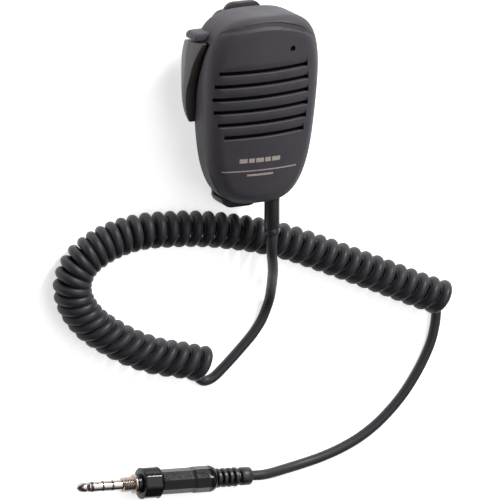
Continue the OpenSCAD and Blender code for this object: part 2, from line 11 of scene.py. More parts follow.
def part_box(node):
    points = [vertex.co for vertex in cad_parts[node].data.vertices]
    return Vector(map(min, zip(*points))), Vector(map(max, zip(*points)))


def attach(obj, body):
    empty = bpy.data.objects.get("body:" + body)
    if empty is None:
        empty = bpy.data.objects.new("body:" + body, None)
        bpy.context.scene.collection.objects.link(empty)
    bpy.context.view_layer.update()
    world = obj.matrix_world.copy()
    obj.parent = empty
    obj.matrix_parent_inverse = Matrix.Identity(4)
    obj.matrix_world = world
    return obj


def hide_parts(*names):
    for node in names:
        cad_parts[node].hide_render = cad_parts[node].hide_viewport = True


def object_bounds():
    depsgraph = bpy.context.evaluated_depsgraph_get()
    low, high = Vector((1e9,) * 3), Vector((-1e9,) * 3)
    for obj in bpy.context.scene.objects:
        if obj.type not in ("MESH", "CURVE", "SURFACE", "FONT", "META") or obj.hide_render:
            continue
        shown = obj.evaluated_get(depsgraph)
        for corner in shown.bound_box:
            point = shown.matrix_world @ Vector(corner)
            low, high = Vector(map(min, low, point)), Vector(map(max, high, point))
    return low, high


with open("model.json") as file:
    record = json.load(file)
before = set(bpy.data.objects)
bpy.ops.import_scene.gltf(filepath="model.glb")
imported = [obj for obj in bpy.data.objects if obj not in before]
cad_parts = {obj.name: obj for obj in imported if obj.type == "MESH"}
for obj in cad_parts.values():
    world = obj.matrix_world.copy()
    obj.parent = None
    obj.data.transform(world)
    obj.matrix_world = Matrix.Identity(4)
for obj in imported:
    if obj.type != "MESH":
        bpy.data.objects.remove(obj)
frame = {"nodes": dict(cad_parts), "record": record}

cad_low, cad_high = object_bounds()
MM = 0.001
UP = Vector((0, 0, 1))
QUARTER_TURN, FULL_TURN = math.pi / 2, 2 * math.pi


def mm(*values):
    """A point given in millimetres, in metres."""
    return Vector([v * MM for v in values])


def corners(node):
    """A CAD node's lowest corner, highest corner and middle, in millimetres."""
    low, high = (np.array(corner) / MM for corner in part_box(node))
    return [point.round(2).tolist() for point in (low, high, (low + high) / 2)]


# ---------------------------------------------------------------------------
# Camera: in front of the speaker face, a little to its left and above its top
# ---------------------------------------------------------------------------
VIEW_BACK = Vector((-0.406, 0.276, 0.871)).normalized()
VIEW_TARGET = mm(7.52, -60.26, 0)
VIEW_DISTANCE = 1.5
VIEW_WIDTH = 0.1695
SENSOR = 36.0


def make_camera():
    up = (Vector((0, 1, 0)) - VIEW_BACK * VIEW_BACK.y).normalized()
    right = up.cross(VIEW_BACK)
    data = bpy.data.cameras.new("camera")
    data.sensor_width = SENSOR
    data.lens = SENSOR * VIEW_DISTANCE / VIEW_WIDTH
    data.clip_start, data.clip_end = 0.05, 20
    cam = bpy.data.objects.new("camera", data)
    bpy.context.collection.objects.link(cam)
    turn = Matrix((right, up, VIEW_BACK)).transposed().to_4x4()
    cam.matrix_world = Matrix.Translation(VIEW_TARGET + VIEW_BACK * VIEW_DISTANCE) @ turn
    bpy.context.scene.camera = cam


make_camera()


# ---------------------------------------------------------------------------
# Materials: every one has grain, colour variation, uneven gloss and worn edges
# ---------------------------------------------------------------------------
BLOTCH_SCALE, GRAIN_DEPTH = 90.0, 0.00004
SPECK_TINT, WORN_TINT, WORN_GLOSS = 1.5, 2.2, 0.1
# Pointiness of an edge where its wear starts, and where it is full
EDGE_START, EDGE_FULL = 0.52, 0.62


class Nodes:
    """Shorthand for adding linked nodes to one material."""

    def __init__(self, mat):
        self.mat = mat
        self.tree = mat.node_tree
        self.shader = self.tree.nodes["Principled BSDF"]
        self.place = self.add("ShaderNodeTexCoord").outputs["Object"]

    def add(self, kind, **settings):
        node = self.tree.nodes.new(kind)
        for key, value in settings.items():
            setattr(node, key, value)
        return node

    def feed(self, socket, value):
        """Link another node's output to a socket, or set a number or a colour on it."""
        if hasattr(value, "is_linked"):
            self.tree.links.new(value, socket)
        else:
            socket.default_value = (*value, 1) if socket.type == "RGBA" else value

    def fill(self, node, **values):
        """Feed a node's inputs by name, with an underscore for each space."""
        for key, value in values.items():
            self.feed(node.inputs[key.replace("_", " ")], value)

    def noise(self, scale, detail, rough=0.5, place=None):
        node = self.add("ShaderNodeTexNoise")
        self.fill(node, Vector=place or self.place, Scale=scale, Detail=detail, Roughness=rough)
        return node.outputs["Fac"]

    def span(self, value, low, high, to_low, to_high):
        """Map low to high onto to_low to to_high, with nothing beyond them."""
        node = self.add("ShaderNodeMapRange")
        self.fill(node, Value=value, From_Min=low, From_Max=high, To_Min=to_low, To_Max=to_high)
        return node.outputs["Result"]

    def mix(self, fac, a, b):
        node = self.add("ShaderNodeMix", data_type="RGBA")
        factor, colour_a, colour_b = node.inputs[0], node.inputs[6], node.inputs[7]
        for socket, value in ((factor, fac), (colour_a, a), (colour_b, b)):
            self.feed(socket, value)
        return node.outputs[2]

    def math(self, operation, a, b):
        node = self.add("ShaderNodeMath", operation=operation)
        for socket, value in zip(node.inputs, (a, b)):
            self.feed(socket, value)
        return node.outputs[0]

    def bump(self, height, strength):
        node = self.add("ShaderNodeBump")
        self.fill(node, Height=height, Strength=strength, Distance=GRAIN_DEPTH)
        return node.outputs["Normal"]


def new_material(name):
    mat = bpy.data.materials.new(name)
    mat.use_nodes = True
    return mat


def scaled(colour, factor):
    return tuple(min(1.0, c * factor) for c in colour)


def surface(name, colour, rough, grain, grain_strength=0.35, vary=0.12, wear=0.35, metal=0.0, sheen=0.0,
            rough_spread=0.08, specular=0.5, stretch=None):
    """A finished material: fine grain bump, soft blotches in colour and gloss, lighter worn edges."""
    n = Nodes(new_material(name))
    place = n.place
    if stretch:
        scaling = n.add("ShaderNodeMapping")
        n.fill(scaling, Vector=n.place, Scale=stretch)
        place = scaling.outputs["Vector"]
    blotch = n.noise(BLOTCH_SCALE, 4.0, 0.6)
    fine = n.noise(grain, 2.0, 0.6, place)
    tinted = n.mix(n.span(blotch, 0.3, 0.7, 0.0, 1.0), scaled(colour, 1 - vary), scaled(colour, 1 + vary))
    speck = n.mix(n.span(fine, 0.35, 0.75, 0.0, 0.35), tinted, scaled(colour, SPECK_TINT))
    edge = n.add("ShaderNodeNewGeometry").outputs["Pointiness"]
    rubbed = n.span(edge, EDGE_START, EDGE_FULL, 0.0, wear)
    worn = n.math("MULTIPLY", rubbed, n.span(blotch, 0.4, 0.65, 0.3, 1.0))
    uneven = n.math("ADD", n.span(blotch, 0.3, 0.7, rough - rough_spread, rough + rough_spread),
                    n.span(fine, 0.3, 0.7, -0.03, 0.03))
    gloss = n.math("SUBTRACT", uneven, n.math("MULTIPLY", worn, WORN_GLOSS))
    n.fill(n.shader, Base_Color=n.mix(worn, speck, scaled(colour, WORN_TINT)), Roughness=gloss, Metallic=metal,
           Normal=n.bump(fine, grain_strength), Specular_IOR_Level=specular, Sheen_Weight=sheen)
    return n.mat


LOOKS = {
    "case_plastic": surface("case_grain", (0.054, 0.0487, 0.058), 0.54, grain=3000, grain_strength=0.5,
                            wear=0.3, specular=0.22),
    "paddle_plastic": surface("paddle_grain", (0.055, 0.046, 0.045), 0.38, grain=3200, wear=0.5,
                              specular=0.75),
    "clip_plastic": surface("clip_grain", (0.031, 0.028, 0.033), 0.42, grain=3000, specular=0.3),
    "relief_rubber": surface("relief_rubber", (0.018, 0.018, 0.0215), 0.4, grain=4200, specular=0.45),
    "cord_jacket": surface("cord_jacket", (0.025, 0.025, 0.0295), 0.46, grain=5200, grain_strength=0.18,
                           wear=0.1, specular=0.28),
    "plug_shell": surface("plug_shell", (0.008, 0.008, 0.010), 0.2, grain=1500, grain_strength=0.02, wear=0.3,
                          specular=0.28, rough_spread=0.04),
    "plug_contact": surface("plug_contact", (0.40, 0.355, 0.335), 0.22, grain=1800, grain_strength=0.05,
                            metal=1.0, vary=0.08, rough_spread=0.05, stretch=(0.15, 3.0, 3.0), wear=0.1),
    "lock_metal": surface("lock_metal", (0.36, 0.295, 0.255), 0.27, grain=1800, grain_strength=0.08,
                          metal=1.0, wear=0.2),
    "insulator": surface("insulator", (0.012, 0.012, 0.012), 0.4, grain=2500, grain_strength=0.1),
    "steel": surface("steel", (0.55, 0.55, 0.57), 0.3, grain=2400, grain_strength=0.15, metal=1.0, wear=0.2),
    "speaker_metal": surface("speaker_metal", (0.55, 0.55, 0.56), 0.4, grain=2000, metal=1.0),
    "magnet": surface("magnet", (0.10, 0.10, 0.11), 0.5, grain=1500, grain_strength=0.6, metal=0.5),
    "cone_paper": surface("cone_paper", (0.5, 0.46, 0.35), 0.7, grain=900),
    "cloth": surface("cloth", (0.006, 0.006, 0.007), 0.95, grain=4500, grain_strength=0.8, vary=0.2,
                     specular=0.1),
    "soft_black": surface("soft_black", (0.02, 0.02, 0.02), 0.7, grain=1600, sheen=0.1),
    "board": surface("board", (0.015, 0.12, 0.05), 0.35, grain=700, vary=0.2),
    "part_plastic": surface("part_plastic", (0.025, 0.025, 0.027), 0.5, grain=2200),
    "plunger_plastic": surface("plunger_plastic", (0.6, 0.6, 0.56), 0.45, grain=2200),
    "wire": surface("wire", (0.45, 0.24, 0.12), 0.4, grain=1800),
}

# Marks printed below the grille: left, right, lower and upper edge of each, in millimetres
MARK_ROW = (-21.2, -19.7)
MARKS = [(-9.6, -6.9, *MARK_ROW), (-6.4, -4.4, *MARK_ROW), (-3.9, -1.2, *MARK_ROW), (-0.7, 1.3, *MARK_ROW),
         (1.8, 4.8, *MARK_ROW), (-15.0, 11.5, -24.3, -23.9), (-6.7, 2.6, -26.0, -25.3)]
MARK_COLOUR, MARK_BLUR, PRINT_GRAIN = (0.42, 0.36, 0.33), 0.00006, 1800.0
# Heights, in metres, between which the print fades in, so that it stays off the back
FRONT_START, FRONT_FULL = 0.0240, 0.0245


def add_marks(mat):
    """Plain pale bars on the front only, a little worn, in place of any name."""
    n = Nodes(mat)
    parts = n.add("ShaderNodeSeparateXYZ")
    n.fill(parts, Vector=n.place)
    x, y, z = parts.outputs
    front = n.span(z, FRONT_START, FRONT_FULL, 0.0, 1.0)
    printed = 0.0
    for left, right, lower, upper in MARKS:
        inside = front
        for value, low, high in ((x, left * MM, right * MM), (y, lower * MM, upper * MM)):
            inside = n.math("MULTIPLY", inside, n.span(value, low - MARK_BLUR, low + MARK_BLUR, 0.0, 1.0))
            inside = n.math("MULTIPLY", inside, n.span(value, high - MARK_BLUR, high + MARK_BLUR, 1.0, 0.0))
        printed = n.math("MAXIMUM", printed, inside)
    plain = n.shader.inputs["Base Color"].links[0].from_socket
    worn_print = n.math("MULTIPLY", printed, n.span(n.noise(PRINT_GRAIN, 2.0), 0.3, 0.6, 0.75, 1.0))
    n.fill(n.shader, Base_Color=n.mix(worn_print, plain, MARK_COLOUR))


add_marks(LOOKS["case_plastic"])
for part in frame["record"]["subparts"]:
    cad_mesh = frame["nodes"][part["node"]].data
    cad_mesh.materials.clear()
    cad_mesh.materials.append(LOOKS[part["material_slot"]])


# ---------------------------------------------------------------------------
# Mesh tools: they work in millimetres, and paint() brings a piece to metres
# ---------------------------------------------------------------------------
# A lathe's rings never shrink below this radius, so that no face closes up
POINT_R = 0.004


def mesh_object(name, points, faces, smooth=True):
    data = bpy.data.meshes.new(name)
    data.from_pydata([tuple(p) for p in points], [], faces)
    data.update()
    if smooth:
        data.shade_smooth()
    piece = bpy.data.objects.new(name, data)
    bpy.context.collection.objects.link(piece)
    return piece


def outward(piece):
    """Turn every face of a closed piece to face out."""
    bm = bmesh.new()
    bm.from_mesh(piece.data)
    bmesh.ops.recalc_face_normals(bm, faces=bm.faces)
    bm.to_mesh(piece.data)
    bm.free()
    return piece


def solid(name, rings):
    """Closed piece through rings that all have the same number of points."""
    n = len(rings[0])
    faces = []
    for j in range(len(rings) - 1):
        for k in range(n):
            a, b = j * n + k, j * n + (k + 1) % n
            faces.append((a, b, b + n, a + n))
    faces.append(tuple(range(n))[::-1])
    faces.append(tuple((len(rings) - 1) * n + k for k in range(n)))
    return outward(mesh_object(name, [p for ring in rings for p in ring], faces))


def drop(*pieces):
    for piece in pieces:
        data = piece.data
        bpy.data.objects.remove(piece, do_unlink=True)
        bpy.data.meshes.remove(data)


def apply_modifiers(piece):
    graph = bpy.context.evaluated_depsgraph_get()
    made = bpy.data.meshes.new_from_object(piece.evaluated_get(graph))
    old = piece.data
    piece.modifiers.clear()
    piece.data = made
    made.name = piece.name
    bpy.data.meshes.remove(old)


def combine(piece, operation, *others):
    """Boolean of the piece with the others, which are used up."""
    for other in others:
        mod = piece.modifiers.new("cut", "BOOLEAN")
        mod.operation = operation
        mod.solver = "MANIFOLD"
        mod.object = other
    apply_modifiers(piece)
    drop(*others)
    return piece


def round_edges(piece, width, angle=38.0):
    """Round the edges that are sharper than the angle, given in degrees."""
    mod = piece.modifiers.new("round", "BEVEL")
    mod.width = width
    mod.segments = 3
    mod.limit_method = "ANGLE"
    mod.angle_limit = math.radians(angle)
    mod.use_clamp_overlap = True
    apply_modifiers(piece)
    return piece


def shade(piece, angle=32.0):
    """Smooth shading, with edges sharper than the angle left crisp."""
    piece.data.shade_smooth()
    piece.data.set_sharp_from_angle(angle=math.radians(angle))
    return piece


def move(piece, place, turn, axis):
    """Turn the mesh about an axis through the origin, then move it to its place."""
    piece.data.transform(Matrix.Translation(place) @ Matrix.Rotation(turn, 4, axis))
    return piece


def level(outline, z):
    return [(x, y, z) for x, y in outline]


def prism(name, outline, z0, z1):
    return solid(name, [level(outline, z0), level(outline, z1)])


def box(name, low, high):
    (x0, y0, z0), (x1, y1, z1) = low, high
    return prism(name, [(x0, y0), (x1, y0), (x1, y1), (x0, y1)], z0, z1)


def post(name, x, y, r, z0, z1, steps=32):
    """Upright round bar, used as a boss or as the cutter of a hole."""
    turns = [FULL_TURN * k / steps for k in range(steps)]
    return prism(name, [(x + r * math.cos(a), y + r * math.sin(a)) for a in turns], z0, z1)


def lathe(name, profile, steps, flute=None):
    """Turned piece about Z through (radius, z) stations; flute may change the radius with the angle."""
    rings = []
    for r, z in profile:
        ring = []
        for k in range(steps):
            a = FULL_TURN * k / steps
            reach = max(POINT_R, flute(r, z, a) if flute else r)
            ring.append((reach * math.cos(a), reach * math.sin(a), z))
        rings.append(ring)
    return solid(name, rings)


def sweep(name, line, radius, sides=14):
    """Round tube along a line, with frames carried along it without twist."""
    turns = [FULL_TURN * k / sides for k in range(sides)]
    last = len(line) - 1
    side = UP.cross(line[1] - line[0]).normalized()
    rings = []
    for i, p in enumerate(line):
        ahead = (line[min(i + 1, last)] - line[max(i - 1, 0)]).normalized()
        side = (side - ahead * side.dot(ahead)).normalized()
        up = ahead.cross(side)
        rings.append([p + radius * (math.cos(a) * side + math.sin(a) * up) for a in turns])
    return solid(name, rings)


def catmull(points, per_span):
    """Smooth line through the points, with per_span steps between each two."""
    pts = [Vector(p) for p in points]
    ends = [2 * pts[0] - pts[1]] + pts + [2 * pts[-1] - pts[-2]]
    line = []
    for a, b, c, d in zip(ends, ends[1:], ends[2:], ends[3:]):
        for k in range(per_span):
            t = k / per_span
            line.append(0.5 * (2 * b + (c - a) * t + (2 * a - 5 * b + 4 * c - d) * t ** 2
                               + (3 * b - a - 3 * c + d) * t ** 3))
    return line + [pts[-1]]


def spaced(points, count):
    """A given number of points at equal distances along a line."""
    arr = np.array([tuple(p) for p in points])
    run = np.concatenate([[0], np.cumsum(np.linalg.norm(np.diff(arr, axis=0), axis=1))])
    at = np.linspace(0, run[-1], count)
    return np.stack([np.interp(at, run, column) for column in arr.T], axis=1).tolist()


def line_length(line):
    return sum((b - a).length for a, b in zip(line, line[1:]))


def evenly(line, step):
    """The same line with its points about a step apart."""
    return [Vector(p) for p in spaced(line, round(line_length(line) / step) + 1)]


def paint(piece, body, slot, *nodes):
    """The piece rides on the body, takes the place of the nodes and wears the slot's material."""
    piece.data.transform(Matrix.Scale(MM, 4))
    piece.data.materials.clear()
    piece.data.materials.append(LOOKS[slot])
    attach(piece, body)
    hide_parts(*nodes)
    return piece


# ---------------------------------------------------------------------------
# Case: outline, crown and the two shells
# ---------------------------------------------------------------------------
CASE_LOW, CASE_HIGH, CASE_MIDDLE = corners("front_case")
CASE_W, CASE_H, CASE_Y = 19.9, (CASE_HIGH[1] - CASE_LOW[1]) / 2, CASE_MIDDLE[1]
CASE_TAPER, CASE_POWER = 0.09, 3.3
BACK_Z, FRONT_Z, SPLIT_Z = 11.8, 32.0, corners("rear_case")[1][2]
SLOPE, CROWN_R, CROWN_LONG = 0.127, 48.0, 700.0
WALL, BACK_ROUND, FRONT_ROUND = 1.8, 4.0, 4.5
JOINT_CHAMFER = 0.1
OUTLINE_STEPS, RING_POINTS = 1440, 176
BACK_STEPS, FRONT_STEPS, CROWN_STEPS, WALL_STEPS, WALL_RISE = 8, 10, 16, 5, 1.0


def outline(grow):
    """The case's outline seen from the front, grown by a distance: a squared oval, wider at its top."""
    points = []
    for k in range(OUTLINE_STEPS):
        a = FULL_TURN * k / OUTLINE_STEPS
        u, v = (math.copysign(abs(w) ** (2 / CASE_POWER), w) for w in (math.cos(a), math.sin(a)))
        points.append(((CASE_W + grow) * (1 + CASE_TAPER * v) * u, CASE_Y + (CASE_H + grow) * v))
    return spaced(points + points[:1], RING_POINTS + 1)[:-1]


def shrunk(ring, share):
    """The ring drawn in towards the middle of the case."""
    return [(x * share, CASE_Y + (y - CASE_Y) * share) for x, y in ring]


def crown(x, y):
    """Height of the front face."""
    run = y - CASE_Y
    return FRONT_Z + SLOPE * run - x * x / (2 * CROWN_R) - run * run / CROWN_LONG


def back_rings(inset, top_z):
    """From the middle of the back, round its edge and up the wall."""
    r = BACK_ROUND - inset / 2
    low = BACK_Z + inset
    rings = [level(shrunk(outline(-inset - r), share), low) for share in (0.02, 0.35, 0.7)]
    for k in range(BACK_STEPS + 1):
        a = QUARTER_TURN * k / BACK_STEPS
        rings.append(level(outline(-inset - r * (1 - math.sin(a))), low + r * (1 - math.cos(a))))
    z = low + r
    while z + 1.5 * WALL_RISE < top_z:
        z += WALL_RISE
        rings.append(level(outline(-inset), z))
    return rings


def front_rings(inset, low_z):
    """From the joint up the wall, round the front edge and over the crown to its middle."""
    r = FRONT_ROUND - inset / 2
    rings = []
    for k in range(1, WALL_STEPS):
        share = k / WALL_STEPS
        rings.append([(x, y, low_z + (crown(x, y) - inset - r - low_z) * share) for x, y in outline(-inset)])
    for k in range(FRONT_STEPS + 1):
        a = QUARTER_TURN * (1 - k / FRONT_STEPS)
        rings.append([(x, y, crown(x, y) - inset - r * (1 - math.cos(a)))
                      for x, y in outline(-inset - r * (1 - math.sin(a)))])
    for k in range(1, CROWN_STEPS + 1):
        share = 1 - k / (CROWN_STEPS + 0.5)
        rings.append([(x, y, crown(x, y) - inset) for x, y in shrunk(outline(-inset - r), share)])
    return rings


def front_half(name):
    """The case's outer form above the joint line."""
    z = SPLIT_Z + JOINT_CHAMFER
    start = [level(outline(-JOINT_CHAMFER), SPLIT_Z), level(outline(0), z)]
    return solid(name, start + front_rings(0, z))


def rear_half(name):
    """The case's outer form below the joint line."""
    z = SPLIT_Z - JOINT_CHAMFER
    return solid(name, back_rings(0, z) + [level(outline(0), z), level(outline(-JOINT_CHAMFER), SPLIT_Z)])


# Slanted pocket in the left flank, with the paddle in it and a nest for the paddle's hinge
PADDLE_CORNER, PADDLE_FAR_CORNER = corners("ptt_button")[:2]
PADDLE_X, PADDLE_LOW, PADDLE_BACK = PADDLE_CORNER
NOSE_END, PADDLE_HIGH = PADDLE_FAR_CORNER[:2]
PADDLE_GAP, PADDLE_T = 0.3, 5.2
POCKET_X, POCKET_LOW_Z, POCKET_WALL, POCKET_FAR_X = -17.0, PADDLE_BACK - PADDLE_GAP, 1.2, -30.0
RIM_LOW_Z, RIM_MID, RIM_HIGH_Z = 15.0, (2.5, 18.2), 25.4
PIN_LOW, PIN_HIGH, PIN_MIDDLE = corners("ptt_pin")
PIN_X, PIN_Y, PIN_R = *PIN_MIDDLE[:2], (PIN_HIGH[0] - PIN_LOW[0]) / 2
NEST_LEFT, NEST_RIGHT, NEST_LONG, NEST_TOP, NEST_WALL = -18.7, -15.3, 5.6, 20.5, 1.0


def flank_pocket(name, x_in, grow):
    low, high = PADDLE_LOW - PADDLE_GAP - grow, PADDLE_HIGH + PADDLE_GAP + grow
    edge = [(low, POCKET_LOW_Z - grow), (high, POCKET_LOW_Z - grow), (high, RIM_HIGH_Z + grow),
            (RIM_MID[0], RIM_MID[1] + grow), (low, RIM_LOW_Z + grow)]
    return solid(name, [[(x, y, z) for y, z in edge] for x in (POCKET_FAR_X, x_in)])


def hinge_nest(name, grow):
    low_y = PADDLE_LOW - PADDLE_GAP
    return box(name, (NEST_LEFT - grow, low_y - grow, POCKET_LOW_Z - grow),
               (NEST_RIGHT + grow, low_y + NEST_LONG + grow, NEST_TOP + grow))


def inner_form():
    """The room inside the case, less the walls of the pocket and the nest."""
    rings = back_rings(WALL, SPLIT_Z) + [level(outline(-WALL), SPLIT_Z)] + front_rings(WALL, SPLIT_Z)
    return combine(solid("inner_form", rings), "DIFFERENCE",
                   flank_pocket("pocket_room", POCKET_X + POCKET_WALL, POCKET_WALL),
                   hinge_nest("nest_room", NEST_WALL))


# Grille slots, each with a bevelled upper edge and a small chamfer below; they follow the crown
SLOT_COUNT, SLOT_PITCH, SLOT_H, SLOT_TURN, SLOT_MID_Y = 6, 4.45, 1.4, math.radians(1.6), -0.6
SLOT_LEFT, SLOT_LEFT_BOW, SLOT_LEFT_Y = -18.9, 0.02, 2.0
SLOT_RIGHT, SLOT_RIGHT_BOW = 14.6, -0.008
SLOT_FLOOR, SLOT_CLEAR, SLOT_STEPS = -4.0, 1.5, 28
SLOT_LIP, BEVEL_W, BEVEL_DEPTH, FACE_GAP = 0.3, 1.5, 0.46, 0.03
HOLE_X, HOLE_Y, HOLE_R = 7.5, 17.1, 1.0


def slot_cutter(k):
    y = SLOT_MID_Y + (k - (SLOT_COUNT - 1) / 2) * SLOT_PITCH
    left = SLOT_LEFT + SLOT_LEFT_BOW * (y - SLOT_LEFT_Y) ** 2
    right = SLOT_RIGHT + SLOT_RIGHT_BOW * y ** 2
    low, high = -SLOT_H / 2, SLOT_H / 2
    lip, bevel = low - SLOT_LIP, high + BEVEL_W
    section = [(low, SLOT_FLOOR), (high, SLOT_FLOOR), (high, -BEVEL_DEPTH), (bevel, FACE_GAP),
               (bevel, SLOT_CLEAR), (lip, SLOT_CLEAR), (lip, FACE_GAP), (low, -SLOT_LIP)]
    rings = []
    for i in range(SLOT_STEPS + 1):
        run = (right - left) * (i / SLOT_STEPS - 0.5)
        ring = []
        for v, depth in section:
            px = (left + right) / 2 + run * math.cos(SLOT_TURN) - v * math.sin(SLOT_TURN)
            py = y + run * math.sin(SLOT_TURN) + v * math.cos(SLOT_TURN)
            ring.append((px, py, crown(px, py) + depth))
        rings.append(ring)
    return solid("slot_cutter", rings)


# Groove under the brow of the top end
BROW_R, BROW_DEPTH, BROW_STEP = 2.4, 0.75, 0.5
BROW_LIFT, BROW_FADE = 0.08, 0.7
BROW_GROOVE = [(-18.6, 20.8), (-16.8, 22.8), (-14, 24.1), (-10.2, 24.9), (-5.9, 25.5), (-1.5, 25.7),
               (3, 25.3), (7.5, 24.3), (11.3, 22.9), (15, 20.9), (17.8, 18.4)]


def brow_cutter():
    """A bar that follows the case's outer face a little above it, and dips deepest halfway."""
    form = front_half("form")
    tree = BVHTree.FromPolygons([v.co.copy() for v in form.data.vertices],
                                [p.vertices[:] for p in form.data.polygons])
    drop(form)
    route = evenly(catmull(level(BROW_GROOVE, 0), 10), BROW_STEP)
    line = []
    for k, p in enumerate(route):
        hit, normal = tree.ray_cast(p + 2 * FRONT_Z * UP, -UP)[:2]
        if hit is not None:
            depth = BROW_DEPTH * math.sin(math.pi * k / (len(route) - 1)) ** BROW_FADE
            line.append(hit + normal * (BROW_R + BROW_LIFT - depth))
    return sweep("brow_cutter", line, BROW_R, 12)


# Hole for the strain relief, screw holes and the ring that the belt clip swivels on
RELIEF_LOW, RELIEF_HIGH, RELIEF_MIDDLE = corners("strain_relief")
RELIEF_X, RELIEF_END, RELIEF_Z = RELIEF_MIDDLE[0], RELIEF_LOW[1], RELIEF_MIDDLE[2]
RELIEF_D, RELIEF_LONG = 5.2, RELIEF_HIGH[1] - RELIEF_END
RELIEF_HOLE_R, RELIEF_HOLE_Y, RELIEF_HOLE_LONG = RELIEF_D / 2 + 0.02, -28.0, 22.0
SCREWS = [(12.6, 20.6), (-11.5, 21), (11.2, -27), (-11.2, -27)]
SCREW_R, SCREW_DEPTH, SINK_R, SINK_DEPTH = 1.1, 5.0, 2.2, 1.6
SWIVEL_R, SWIVEL_Z, BOSS_R, BOSS_H, STUD_R, STUD_GAP = 8.0, 11.2, 6.0, 0.6, 3.5, 0.08
SHOULDER = [(-22.4, 19.7), (-15.9, 19.7), (-15.9, 22.3), (-21.2, 22.3), (-22.4, 21.3)]
SHOULDER_GAP, OVERLAP = 0.1, 0.3


def relief_bore():
    hole = lathe("relief_bore", [(RELIEF_HOLE_R, 0), (RELIEF_HOLE_R, RELIEF_HOLE_LONG)], 48)
    return move(hole, (RELIEF_X, RELIEF_HOLE_Y, RELIEF_Z), QUARTER_TURN, "X")


def make_front_shell():
    shell = front_half("front_shell")
    combine(shell, "DIFFERENCE", inner_form(), flank_pocket("pocket", POCKET_X, 0))
    combine(shell, "DIFFERENCE", *[slot_cutter(k) for k in range(SLOT_COUNT)],
            post("sound_hole", HOLE_X, HOLE_Y, HOLE_R, 25, 40), relief_bore(), brow_cutter())
    return shade(shell, 28)


def make_shoulder():
    """Raised block on the flank above the paddle."""
    shoulder = prism("shoulder", SHOULDER, POCKET_LOW_Z + SHOULDER_GAP, SPLIT_Z - SHOULDER_GAP)
    return combine(round_edges(shoulder, 0.7), "DIFFERENCE", inner_form())


def make_rear_shell():
    shell = rear_half("rear_shell")
    combine(shell, "DIFFERENCE", inner_form(), flank_pocket("pocket", POCKET_X, 0), hinge_nest("nest", 0),
            relief_bore(), post("pin_hole", PIN_X, PIN_Y, PIN_R, PIN_LOW[2], PIN_HIGH[2]))
    for x, y in SCREWS:
        combine(shell, "DIFFERENCE", post("screw_sink", x, y, SINK_R, BACK_Z - 1, BACK_Z + SINK_DEPTH),
                post("screw_hole", x, y, SCREW_R, BACK_Z - 1, BACK_Z + SCREW_DEPTH))
    ring = post("swivel_ring", 0, 0, SWIVEL_R, SWIVEL_Z, BACK_Z + OVERLAP, 64)
    boss = post("swivel_boss", 0, 0, BOSS_R, BACK_Z + OVERLAP, BACK_Z + WALL + BOSS_H, 48)
    combine(shell, "UNION", make_shoulder(), ring, boss)
    combine(shell, "DIFFERENCE", post("stud_bore", 0, 0, STUD_R + STUD_GAP, 5, 20, 48))
    return shade(shell, 28)


paint(make_front_shell(), "case", "case_plastic", "front_case")
paint(make_rear_shell(), "case", "case_plastic", "rear_case")


# ---------------------------------------------------------------------------
# Push-to-talk paddle
# ---------------------------------------------------------------------------
NOSE_Y, NOSE_Z, NOSE_R, NOSE_ROOT = 12.0, 17.6, 1.4, 1.0
PADDLE_SINK, PADDLE_LEAN, PADDLE_STEPS = 1.3, 0.42, 30
PADDLE_BOW, BOW_MIDDLE, BOW_REACH, BOW_POWER = 3.6, 0.55, 0.6, 3.5
FOLD_H, THIN_EDGE = 3.2, 0.8
BARREL_R, BARREL_GAP, HINGE_PLAY = 1.4, 0.3, 0.05


def paddle_ring(y):
    """Cross-section at a height along the flank: upright below, leaning in above, cut by the slanted rim."""
    share = (y - PADDLE_LOW) / (PADDLE_HIGH - PADDLE_LOW)
    out = PADDLE_X + PADDLE_BOW * (abs(share - BOW_MIDDLE) / BOW_REACH) ** BOW_POWER
    inner = float(np.interp(y, [PIN_Y + 1.2, PIN_Y + 2.6], [PIN_X + 1.2, PADDLE_X + PADDLE_T]))
    rim = [RIM_LOW_Z - 0.3, RIM_MID[1] - PADDLE_SINK, RIM_HIGH_Z - 1.6 * PADDLE_SINK]
    front = float(np.interp(y, [PADDLE_LOW, RIM_MID[0], PADDLE_HIGH], rim))
    fold = PADDLE_BACK + min(FOLD_H, (front - PADDLE_BACK) / 2)
    lean = min(out + PADDLE_LEAN * (front - fold), inner - THIN_EDGE)
    section = [(inner, PADDLE_BACK), (out, PADDLE_BACK), (out, fold), (lean, front), (inner, front)]
    return [(x, y, z) for x, z in section]


def make_paddle():
    step = (PADDLE_HIGH - PADDLE_LOW) / PADDLE_STEPS
    paddle = solid("paddle", [paddle_ring(PADDLE_LOW + step * k) for k in range(PADDLE_STEPS + 1)])
    round_edges(paddle, 0.45, 16)
    root = PADDLE_X + PADDLE_T - NOSE_ROOT
    nose = lathe("nose", [(NOSE_R, 0), (NOSE_R, NOSE_END - root)], 32)
    move(nose, (root, NOSE_Y, NOSE_Z), QUARTER_TURN, "Y")
    barrel = post("barrel", PIN_X, PIN_Y, BARREL_R, POCKET_LOW_Z + BARREL_GAP, NEST_TOP - BARREL_GAP)
    combine(paddle, "UNION", nose, barrel)
    combine(paddle, "DIFFERENCE", post("bore", PIN_X, PIN_Y, PIN_R + HINGE_PLAY, 10, 30))
    return shade(paddle)


paint(make_paddle(), "paddle", "paddle_plastic", "ptt_button")


